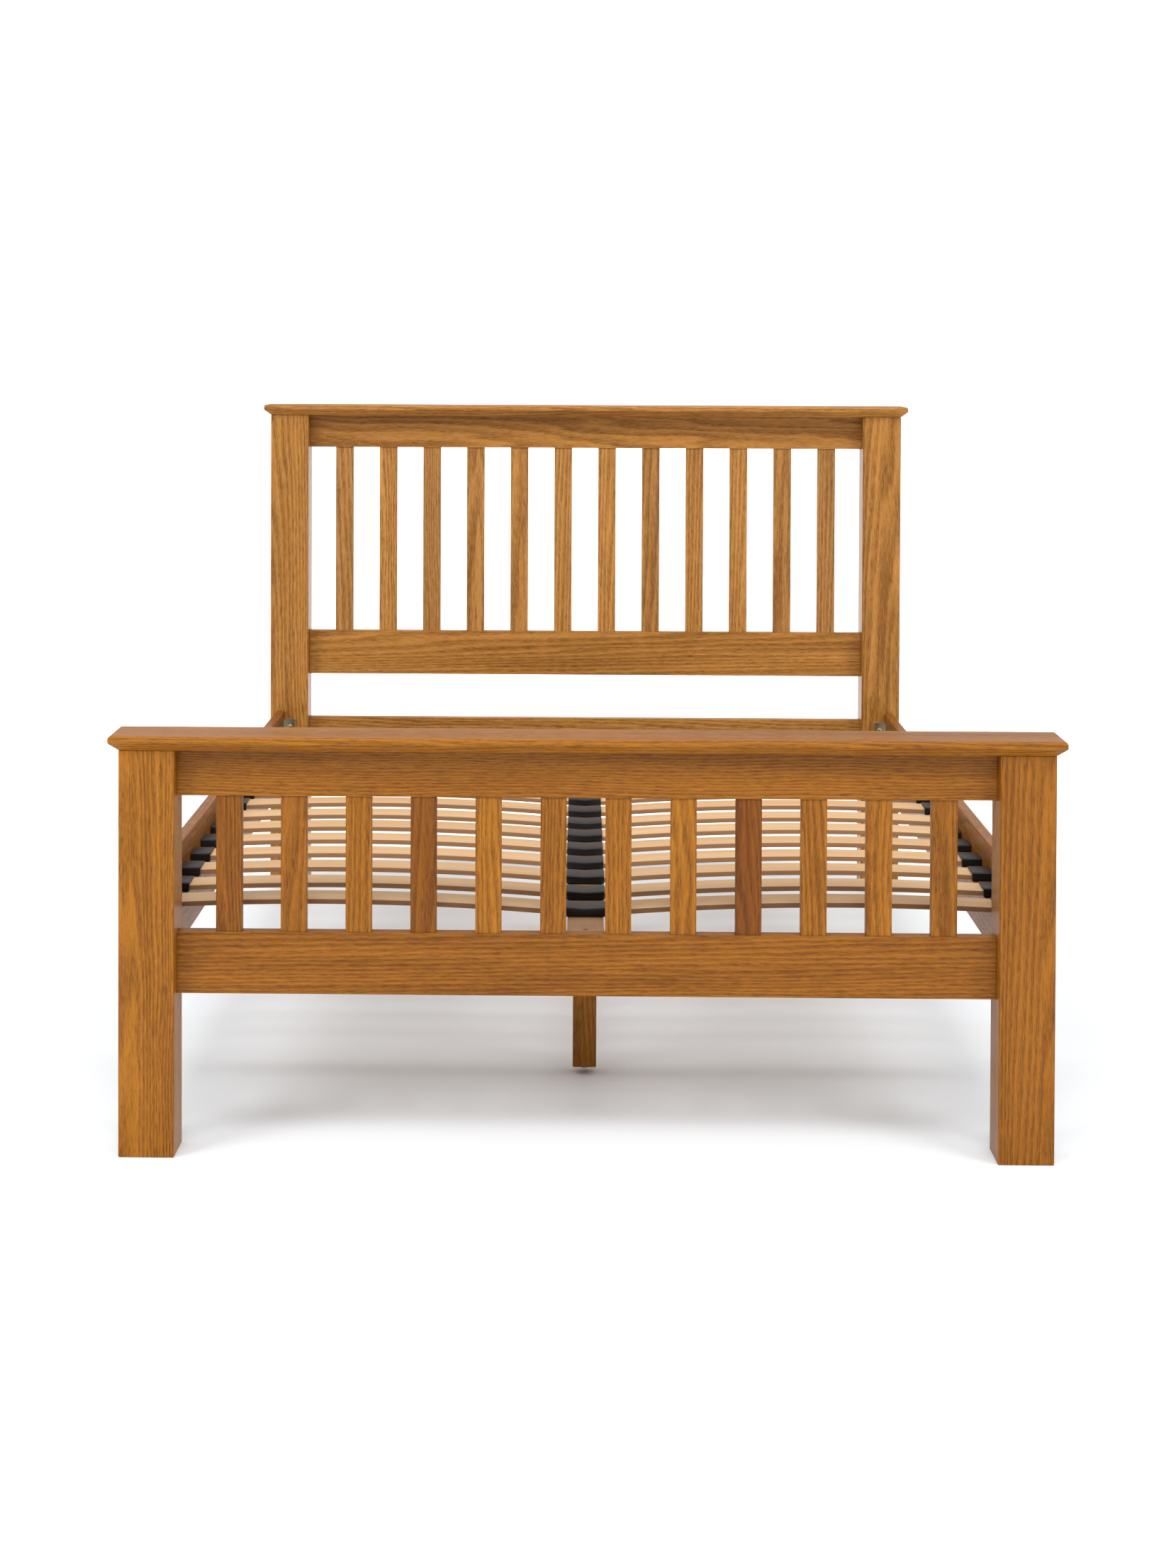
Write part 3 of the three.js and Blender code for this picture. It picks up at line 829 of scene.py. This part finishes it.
# %% Lath sizes
LATH_WIDTH = 52 * MM
LATH_THICKNESS = 8.5 * MM
LATH_EDGE = 1.0 * MM
LATH_RISE = 11 * MM
LATH_CLIMB = 10 * MM
LATH_INNER_END = 4 * MM
LATH_FROM_BOX_END = 4 * MM
LATH_BENDS = 37
INNER_GRIP = 29 * MM
OUTER_GRIP = 32 * MM
HOLDER_FLOOR = 3.75 * MM
LEAST_LEAN = math.radians(2.5)
MOST_LEAN = math.radians(6.0)
LEAN_SEED = 31
LATH_SEED = 23
ROW_WANDER = (0.0, 5.0 * MM, 0.0)

row_names = sorted(name for name in nodes if name.startswith("lath_row_"))
first_low, first_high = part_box(row_names[0])
last_low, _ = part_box(row_names[-1])
row_pitch = (0.0, (last_low.y - first_low.y) / (len(row_names) - 1), 0.0)
row_start = Vector((0, (first_low.y + first_high.y) / 2, first_low.z))
print("rows of laths:", len(row_names), "every", row_pitch[1] / MM, "mm")


# %% Laths
def lath_sizes():
    middle = row_start.z + HOLDER_FLOOR + LATH_THICKNESS / 2
    return {
        "Count": len(row_names),
        "Pitch": row_pitch,
        "Wander": ROW_WANDER,
        "Right Start": (LATH_INNER_END, row_start.y, middle),
        "Left Start": (-LATH_INNER_END, row_start.y, middle),
        "Length": first_high.x - LATH_FROM_BOX_END - LATH_INNER_END,
        "Width": LATH_WIDTH,
        "Thickness": LATH_THICKNESS,
        "Edge": LATH_EDGE,
        "Rise": LATH_RISE,
        "Climb": LATH_CLIMB,
        "Inner Grip": INNER_GRIP,
        "Outer Grip": OUTER_GRIP,
        "Least Lean": LEAST_LEAN,
        "Most Lean": MOST_LEAN,
        "Seed": LATH_SEED,
        "Material": beech_lath(LATH_WIDTH),
    }


def bowed_bar(shape):
    """A bar along X whose grain is stored while it is straight, then bent between its grips."""
    end = shape.add("ShaderNodeCombineXYZ", {}, {0: shape.given("Length")})
    line = shape.add("GeometryNodeCurvePrimitiveLine", {}, {"Start": (0, 0, 0), "End": end})
    level = shape.add("GeometryNodeSetCurveNormal", {"mode": "Z_UP"}, {"Curve": line})
    path = shape.add("GeometryNodeResampleCurve", {}, {"Curve": level, "Count": LATH_BENDS})
    place = shape.add("GeometryNodeInputPosition")
    bar = shape.store(shape.bar(path), "FLOAT_VECTOR", "POINT", "grain", place)
    free = {
        "Value": shape.add("ShaderNodeSeparateXYZ", {}, {0: place}, "X"),
        "From Min": shape.given("Inner Grip"),
        "From Max": shape.given("Length") - shape.given("Outer Grip"),
    }
    share = shape.add("ShaderNodeMapRange", {}, free)
    lift = share * shape.given("Climb") + share * (1 - share) * 4 * shape.given("Rise")
    offset = shape.add("ShaderNodeCombineXYZ", {}, {2: lift})
    return shape.add("GeometryNodeSetPosition", {}, {"Geometry": bar, "Offset": offset})


def lath_piece():
    shape = Shape("lath_tree", lath_sizes())
    bar = bowed_bar(shape)
    lean = shape.random("FLOAT", shape.given("Least Lean"), shape.given("Most Lean"), LEAN_SEED)
    sides = []
    for start, tip, turn in (("Right Start", lean, 0.0), ("Left Start", lean * -1, math.pi)):
        turned = shape.add("ShaderNodeCombineXYZ", {}, {0: tip, 2: turn})
        sides.append(shape.copies(shape.wander(shape.row(start)), bar, turned))
    laths = shape.add("GeometryNodeJoinGeometry", {}, {"Geometry": sides})
    return shape.build("beech_laths", shape.vary(laths))


beech_laths = place_piece(lath_piece(), "beech")

# %% [markdown]
# ## Lath holders
# Two kinds of moulded sleeve hold the laths. The side ones are closed caps on the ledge of each
# side rail. The centre ones are open at both ends, sit on the middle rail and dip slightly in the
# middle. A box with a hole cut in it would leave sharp rims, so each shape is a skin over a few
# rings instead, from inside the pocket, round the rim and over the outside. Geometry Nodes then
# repeats it row by row.

# %% Skins over rings
RING_WELD = 0.001 * MM


def rounded_outline(width, height, radius, steps=4):
    """Points round a rectangle with rounded corners, as (across, up)."""
    points = []
    for quarter, (right, top) in enumerate([(1, 1), (-1, 1), (-1, -1), (1, -1)]):
        for step in range(steps + 1):
            angle = math.pi / 2 * (quarter + step / steps)
            across = right * (width / 2 - radius) + radius * math.cos(angle)
            points.append((across, top * (height / 2 - radius) + radius * math.sin(angle)))
    return points


def skin(name, rings):
    """A closed skin over rings of points, with flat ends."""
    mesh = bmesh.new()
    rows = [[mesh.verts.new(point) for point in ring] for ring in rings]
    for lower, upper in zip(rows, rows[1:]):
        for i in range(len(lower)):
            j = (i + 1) % len(lower)
            mesh.faces.new((lower[i], lower[j], upper[j], upper[i]))
    mesh.faces.new(rows[0][::-1])
    mesh.faces.new(rows[-1])
    bmesh.ops.remove_doubles(mesh, verts=mesh.verts, dist=RING_WELD)
    bmesh.ops.recalc_face_normals(mesh, faces=mesh.faces)
    data = bpy.data.meshes.new(name)
    mesh.to_mesh(data)
    mesh.free()
    smooth_by_angle(data)
    return add_object(name, data)


print("skins ready")

# %% Holder shapes
HOLDER_LENGTH = 58 * MM
HOLDER_HEIGHT = 16 * MM
HOLDER_CORNER = 3.0 * MM
SIDE_HOLDER_REACH = 36 * MM
END_WALL = 3 * MM
CENTRE_HOLDER_HALF = 33 * MM
CENTRE_DIP = 1.8 * MM
DIP_HALF = 2 * MM
STOP_HALF = 6 * MM
POCKET_GAP = 0.4 * MM
POCKET_CORNER = 1.6 * MM
RIM_EDGE = 0.8 * MM


def sleeve_ring(place, inset, inner, dip=0.0):
    """One ring of a sleeve, at a place along X. The pocket's ring is `inner`."""
    width, height, radius = HOLDER_LENGTH, HOLDER_HEIGHT, HOLDER_CORNER
    if inner:
        width, height = LATH_WIDTH + 2 * POCKET_GAP, LATH_THICKNESS + 2 * POCKET_GAP
        radius = POCKET_CORNER
    outline = rounded_outline(width - 2 * inset, height - 2 * inset, radius)
    return [(place, y, HOLDER_HEIGHT / 2 + z - (dip if z > 0 else 0)) for y, z in outline]


def side_holder():
    reach = SIDE_HOLDER_REACH
    rings = [
        sleeve_ring(reach - END_WALL, 0, True),
        sleeve_ring(RIM_EDGE, 0, True),
        sleeve_ring(0, -RIM_EDGE, True),
        sleeve_ring(0, RIM_EDGE, False),
        sleeve_ring(RIM_EDGE, 0, False),
        sleeve_ring(reach - RIM_EDGE, 0, False),
        sleeve_ring(reach, RIM_EDGE, False),
    ]
    return skin("side_holder_shape", rings)


def centre_holder():
    half = CENTRE_HOLDER_HALF
    left = [
        sleeve_ring(-STOP_HALF, 0, True),
        sleeve_ring(RIM_EDGE - half, 0, True),
        sleeve_ring(-half, -RIM_EDGE, True),
        sleeve_ring(-half, RIM_EDGE, False),
        sleeve_ring(RIM_EDGE - half, 0, False),
        sleeve_ring(-DIP_HALF, 0, False, CENTRE_DIP),
    ]
    right = [[(-x, y, z) for x, y, z in ring] for ring in reversed(left)]
    return skin("centre_holder_shape", left + right)


print("holders reach", SIDE_HOLDER_REACH / MM, "and", 2 * CENTRE_HOLDER_HALF / MM, "mm")


# %% Holders in their rows
def holders_by_row(name, template, starts):
    """Rows of one holder: each start is (place, turn about Z)."""
    inputs = {
        "Shape": template,
        "Count": len(row_names),
        "Pitch": row_pitch,
        "Wander": ROW_WANDER,
        "Material": plastic,
    }
    for index, (place, turn) in enumerate(starts):
        inputs[f"Start {index}"] = tuple(place)
        inputs[f"Turn {index}"] = (0.0, 0.0, turn)
    shape = Shape(f"{name}_tree", inputs)
    source = shape.object("Shape")
    rows = []
    for index in range(len(starts)):
        points = shape.wander(shape.row(f"Start {index}"))
        rows.append(shape.copies(points, source, shape.given(f"Turn {index}")))
    holders = shape.add("GeometryNodeJoinGeometry", {}, {"Geometry": rows})
    place_piece(shape.build(name, holders), "black_plastic")
    bpy.data.objects.remove(template)


ledge = row_start.z + LATH_CLIMB
mouth = first_high.x - SIDE_HOLDER_REACH
side_starts = [
    ((mouth, row_start.y, ledge), 0.0),
    ((-mouth, row_start.y, ledge), math.pi),
]
holders_by_row("side_holders", side_holder(), side_starts)
holders_by_row("centre_holders", centre_holder(), [(row_start, 0.0)])
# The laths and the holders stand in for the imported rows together.
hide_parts(*row_names)

# %% [markdown]
# ## Centre rail and its legs
# The middle rail is plain beech, left pale because the mattress hides it. Two stained legs stand
# under it and stop just short of the floor, so that their feet can be screwed down to meet it.
# Each leg has a drilled hole for its foot's threaded stem. A modifier could cut that hole, but a
# skin over rings can turn in at the bottom edge and run up inside, and it stays light.

# %% Centre rail
RAIL_EDGE = 2.0 * MM
RAIL_DEPTH = 40 * MM
RAIL_PITH = (2.2, 0.05, 0.09)
# The rail's brown tone is painted shade from the footboard, like its browner mix.
RAIL_TONE_AND_SHADE = 0.75

rail_low, rail_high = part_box("centre_rail")
rail_underside = rail_high.z - RAIL_DEPTH


def centre_rail_piece():
    middle = Vector((0, 0, rail_high.z - RAIL_DEPTH / 2))
    width = rail_high.x - rail_low.x

    def ring(place, inset):
        outline = rounded_outline(width - 2 * inset, RAIL_DEPTH - 2 * inset, RAIL_EDGE)
        return [(x, place, middle.z + z) for x, z in outline]

    ends = (rail_low.y, rail_low.y + RAIL_EDGE / 2, rail_high.y - RAIL_EDGE / 2, rail_high.y)
    insets = (RAIL_EDGE / 2, 0, 0, RAIL_EDGE / 2)
    piece = skin("pale_centre_rail", [ring(y, inset) for y, inset in zip(ends, insets)])
    wood = beech_timber("beech_centre_rail", middle, "Y", RAIL_PITH, RAIL_TONE_AND_SHADE)
    piece.data.materials.append(wood)
    return piece


place_piece(centre_rail_piece(), "beech", "centre_rail")
print("centre rail from", rail_low.y, "to", rail_high.y)

# %% Legs
LEG_SIDE = 42 * MM
LEG_CORNER = 2 * MM
LEG_EASE = 1.2 * MM
LEG_HOLE_RADIUS = 4.4 * MM
LEG_HOLE_DEPTH = 37 * MM
LEG_CORNER_STEPS = 5
# Where a leg's outline has points along each flat, in degrees from the middle of the flat.
LEG_FLAT_TURNS = (-30, -15, 0, 15, 30)
# Each leg: the foot it stands on, its pith from its middle, its tone from honey to brown.
LEGS = {
    "front_leg": ("front_levelling_foot", (3.3, 0.04, 0.06), 0.02),
    "rear_leg": ("rear_levelling_foot", (6.1, -0.03, 0.08), 0.10),
}


def leg_outline():
    """A square with rounded corners. Points along its flats keep the hole drawn from it round."""
    corners = rounded_outline(LEG_SIDE, LEG_SIDE, LEG_CORNER, LEG_CORNER_STEPS)
    in_corner = LEG_CORNER_STEPS + 1
    points = []
    for quarter in range(4):
        points += corners[quarter * in_corner : (quarter + 1) * in_corner]
        for turn in LEG_FLAT_TURNS:
            reach = LEG_SIDE / 2 / math.cos(math.radians(turn))
            angle = math.radians(90 * (quarter + 1) + turn)
            points.append((reach * math.cos(angle), reach * math.sin(angle)))
    return points


def leg_piece(name, foot_node, pith, tone):
    foot_low, foot_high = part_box(foot_node)
    centre = (foot_low + foot_high) / 2
    bottom = rail_low.z
    square = leg_outline()

    def ring(height, inset=0.0, radius=None):
        points = []
        for x, y in square:
            grow = radius / math.hypot(x, y) if radius else 1 - inset / (LEG_SIDE / 2)
            points.append((centre.x + x * grow, centre.y + y * grow, height))
        return points

    rings = [
        ring(rail_underside),
        ring(bottom + LEG_EASE),
        ring(bottom, LEG_EASE),
        ring(bottom, radius=LEG_HOLE_RADIUS),
        ring(bottom + LEG_HOLE_DEPTH, radius=LEG_HOLE_RADIUS),
    ]
    piece = skin(name, rings)
    middle = (centre.x, centre.y, (rail_underside + bottom) / 2)
    piece.data.materials.append(oak_timber(f"oak_{name}", middle, "Z", pith, tone))
    return piece


for name, leg in LEGS.items():
    place_piece(leg_piece(name, *leg), "oak")
print("legs made:", len(LEGS))

# %% [markdown]
# ## Levelling feet
# Each foot is a flat plastic pad moulded onto a threaded steel stem. Its thread could be a helix,
# but almost all of it is up inside the leg, so the foot is simply turned round its own axis: the
# pad has softened edges, and the stem has a ridge for each turn of thread. The foot rides on its
# own body, because it moves down as it is unscrewed.

# %% Levelling feet
THREAD_PITCH = 1.6 * MM
THREAD_DEPTH = 0.45 * MM
STEM_RADIUS = 4.0 * MM
STEM_TIP_RADIUS = 3.0 * MM
# The pad's rim from its underside up: millimetres in from the full radius, and millimetres up.
PAD_RIM = [(1.4, 0), (0.4, 0.4), (0, 1.3), (0.3, 2.4), (2.2, 3.7)]
PAD_HEIGHT = PAD_RIM[-1][1] * MM
ABOVE_PAD = 0.1 * MM
ROUND_SIDES = 24


def circle(centre, radius, height):
    turns = [2 * math.pi * i / ROUND_SIDES for i in range(ROUND_SIDES)]
    return [
        (centre[0] + radius * math.cos(a), centre[1] + radius * math.sin(a), height) for a in turns
    ]


def foot_profile(radius, bottom, top):
    """Radius and height of each ring of a foot, from the floor up."""
    pad_top = bottom + PAD_HEIGHT
    profile = [(radius - inset * MM, bottom + rise * MM) for inset, rise in PAD_RIM]
    profile.append((STEM_RADIUS, pad_top))
    height = pad_top + THREAD_PITCH / 2
    while height < top - THREAD_PITCH:
        profile.append((STEM_RADIUS, height))
        profile.append((STEM_RADIUS - THREAD_DEPTH, height + THREAD_PITCH / 2))
        height += THREAD_PITCH
    profile.append((STEM_TIP_RADIUS, top))
    return profile


def levelling_foot(node, body):
    low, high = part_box(node)
    centre = (low + high) / 2
    profile = foot_profile((high.x - low.x) / 2, low.z, high.z)
    piece = skin(f"{node}_turned", [circle(centre, r, z) for r, z in profile])
    piece.data.materials.append(plastic)
    piece.data.materials.append(plating)
    for face in piece.data.polygons:
        face.material_index = 1 if face.center.z > low.z + PAD_HEIGHT + ABOVE_PAD else 0
    place_piece(piece, "black_plastic", node, body=body)


levelling_foot("front_levelling_foot", "front_foot")
levelling_foot("rear_levelling_foot", "rear_foot")
print("levelling feet made")

# %% [markdown]
# ## Brackets, bolts and screws
# A folded steel bracket in each corner ties the side rail to the post. The plate keeps its packed
# shape with slightly softened edges. Hexagon bolts with washers go through its holes into the
# rail and the post. Bolts and screws could be modelled where they sit, but each is drawn once,
# pointing up, and a tree then sets a copy at each place, turned to face the way that it was
# driven from.

# %% Bolt shape
BOLT_FLATS = 13 * MM
BOLT_HEAD = 5.3 * MM
BOLT_BASE_SHARE = 0.97
BOLT_CROWN_SHARE = 0.47
BOLT_BASE = 0.4 * MM
BOLT_CHAMFER = 1.0 * MM
WASHER_RADIUS = 8 * MM
WASHER_THICKNESS = 1.2 * MM
WASHER_EASE = 0.2 * MM
WASHER_LOWER_EASE = 0.3 * MM


def hexagon(flats, height):
    points = []
    for i in range(ROUND_SIDES):
        angle = 2 * math.pi * i / ROUND_SIDES
        from_flat = (angle + math.pi / 6) % (math.pi / 3) - math.pi / 6
        radius = flats / 2 / math.cos(from_flat)
        points.append((radius * math.cos(angle), radius * math.sin(angle), height))
    return points


def hexagon_bolt():
    """A bolt head on its washer, ring by ring upwards."""
    centre = (0, 0)
    top = WASHER_THICKNESS + BOLT_HEAD
    rings = [
        circle(centre, WASHER_RADIUS - WASHER_EASE, 0),
        circle(centre, WASHER_RADIUS, WASHER_LOWER_EASE),
        circle(centre, WASHER_RADIUS, WASHER_THICKNESS - WASHER_EASE),
        circle(centre, WASHER_RADIUS - WASHER_EASE, WASHER_THICKNESS),
        hexagon(BOLT_FLATS * BOLT_BASE_SHARE, WASHER_THICKNESS),
        hexagon(BOLT_FLATS, WASHER_THICKNESS + BOLT_BASE),
        hexagon(BOLT_FLATS, top - BOLT_CHAMFER),
        circle(centre, BOLT_FLATS * BOLT_CROWN_SHARE, top),
    ]
    return skin("hexagon_bolt_shape", rings)


print("bolt heads", BOLT_FLATS / MM, "mm over the flats")

# %% Screw shape
SCREW_RADIUS = 4.2 * MM
SCREW_DEPTH = 1.8 * MM
SCREW_CROWN = 0.3 * MM
RECESS_DEPTH = 1.4 * MM
RECESS_ARMS = (0, 1, 5)
RECESS_WAIST = 0.38


def cross_recess(radius, height):
    """A cross of four arms. In each quarter turn, RECESS_ARMS are the points out on an arm."""
    points = []
    for i in range(ROUND_SIDES):
        angle = 2 * math.pi * i / ROUND_SIDES
        reach = radius if i % (ROUND_SIDES // 4) in RECESS_ARMS else radius * RECESS_WAIST
        points.append((reach * math.cos(angle), reach * math.sin(angle), height))
    return points


def countersunk_screw():
    """A screw head, ring by ring from its neck up to the rim and down into the recess."""
    centre = (0, 0)
    rings = [
        circle(centre, SCREW_RADIUS * 0.6, -SCREW_DEPTH),
        circle(centre, SCREW_RADIUS, 0.0),
        circle(centre, SCREW_RADIUS * 0.93, SCREW_CROWN),
        cross_recess(SCREW_RADIUS * 0.55, SCREW_CROWN),
        cross_recess(SCREW_RADIUS * 0.42, -RECESS_DEPTH),
    ]
    return skin("countersunk_screw_shape", rings)


print("screw heads", 2 * SCREW_RADIUS / MM, "mm wide")


# %% A shape at each place
def fixings(name, template, places, material, slot):
    """Copies of one shape: each place is (point, the way its head faces)."""
    mesh = bpy.data.meshes.new("places")
    mesh.from_pydata([tuple(point) for point, _ in places], [], [])
    facing = mesh.attributes.new("facing", "FLOAT_VECTOR", "POINT")
    for item, (_, way) in zip(facing.data, places):
        item.vector = way
    points = add_object("places", mesh)
    shape = Shape(f"{name}_tree", {"Shape": template, "Places": points, "Material": material})
    settings = {"data_type": "FLOAT_VECTOR"}
    way = shape.add("GeometryNodeInputNamedAttribute", settings, {"Name": "facing"}, "Attribute")
    turn = shape.add("FunctionNodeAlignRotationToVector", {"axis": "Z"}, {"Vector": way})
    copies = shape.copies(shape.object("Places"), shape.object("Shape"), turn)
    place_piece(shape.build(name, copies), slot)
    bpy.data.objects.remove(template)
    bpy.data.objects.remove(points)


print("places can be filled")

# %% Brackets and their bolts
PLATE_EDGE = 0.5 * MM
PLATE_THICKNESS = 2.5 * MM
HOLE_FROM_ENDS = 22 * MM
RAIL_HOLE_FROM_POST = 30.25 * MM
POST_HOLE_FROM_RAIL = 12.5 * MM


def plate_the_bracket(node):
    plate = nodes[node]
    plate.data.materials.clear()
    plate.data.materials.append(plating)
    ease_edges(plate, PLATE_EDGE)


def bolts_of(node, across, along):
    """Where the bolts of one bracket sit. Its corner is at the signs `across` and `along`."""
    low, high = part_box(node)
    rail_face = max(abs(low.x), abs(high.x))
    post_face = max(abs(low.y), abs(high.y))
    rail_x = across * (rail_face - PLATE_THICKNESS)
    rail_y = along * (post_face - RAIL_HOLE_FROM_POST)
    post_x = across * (rail_face - POST_HOLE_FROM_RAIL)
    post_y = along * (post_face - PLATE_THICKNESS)
    places = []
    for height in (low.z + HOLE_FROM_ENDS, high.z - HOLE_FROM_ENDS):
        places.append(((rail_x, rail_y, height), (-across, 0, 0)))
        places.append(((post_x, post_y, height), (0, -along, 0)))
    return places


bolt_places = []
for end, along in (("foot", -1), ("head", 1)):
    for side, across in (("left", -1), ("right", 1)):
        bracket = f"{end}_bracket_{side}"
        plate_the_bracket(bracket)
        bolt_places += bolts_of(bracket, across, along)
fixings("bracket_bolts", hexagon_bolt(), bolt_places, plating, "zinc_steel")

# %% [markdown]
# ### Small screws
# Countersunk screws hold each ledge to its side rail, evenly spaced along it. Two more go down
# through the middle rail into the cleats at its ends, and two into the top of each leg. A list of
# their places would be shorter, but sums from the boxes of the rails and the feet follow a
# changed size.

# %% Screws
LEDGE_SCREWS = 7
LEDGE_MARGIN = 20 * MM
HALF_LEDGE = 15 * MM
SCREW_FROM_RAIL_END = 14 * MM
LEG_SCREW_SPACING = 24 * MM

screw_places = []
ledge_reach = min(-first_low.y, last_low.y) - LEDGE_MARGIN
ledge_face = abs(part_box("side_rail_left")[1].x)
for index in range(LEDGE_SCREWS):
    y = ledge_reach * (2 * index / (LEDGE_SCREWS - 1) - 1)
    for sign in (-1, 1):
        screw_places.append(((sign * ledge_face, y, ledge - HALF_LEDGE), (-sign, 0, 0)))
for sign in (-1, 1):
    y = sign * (rail_high.y - SCREW_FROM_RAIL_END)
    screw_places.append(((0, y, rail_high.z), (0, 0, 1)))
for foot, _, _ in LEGS.values():
    low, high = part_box(foot)
    for sign in (-1, 1):
        y = (low.y + high.y) / 2 + sign * LEG_SCREW_SPACING / 2
        screw_places.append(((0, y, rail_high.z), (0, 0, 1)))
fixings("countersunk_screws", countersunk_screw(), screw_places, blackened_screw(), "zinc_steel")
print("screws:", len(screw_places))

# %% [markdown]
# ## Sizes
# The finer pieces have to fill the same box as the imported ones, so the box of what is shown is
# printed, like the imported box at the start.

# %% Print the visual box
low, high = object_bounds()
print("visual box:", tuple(low), tuple(high))
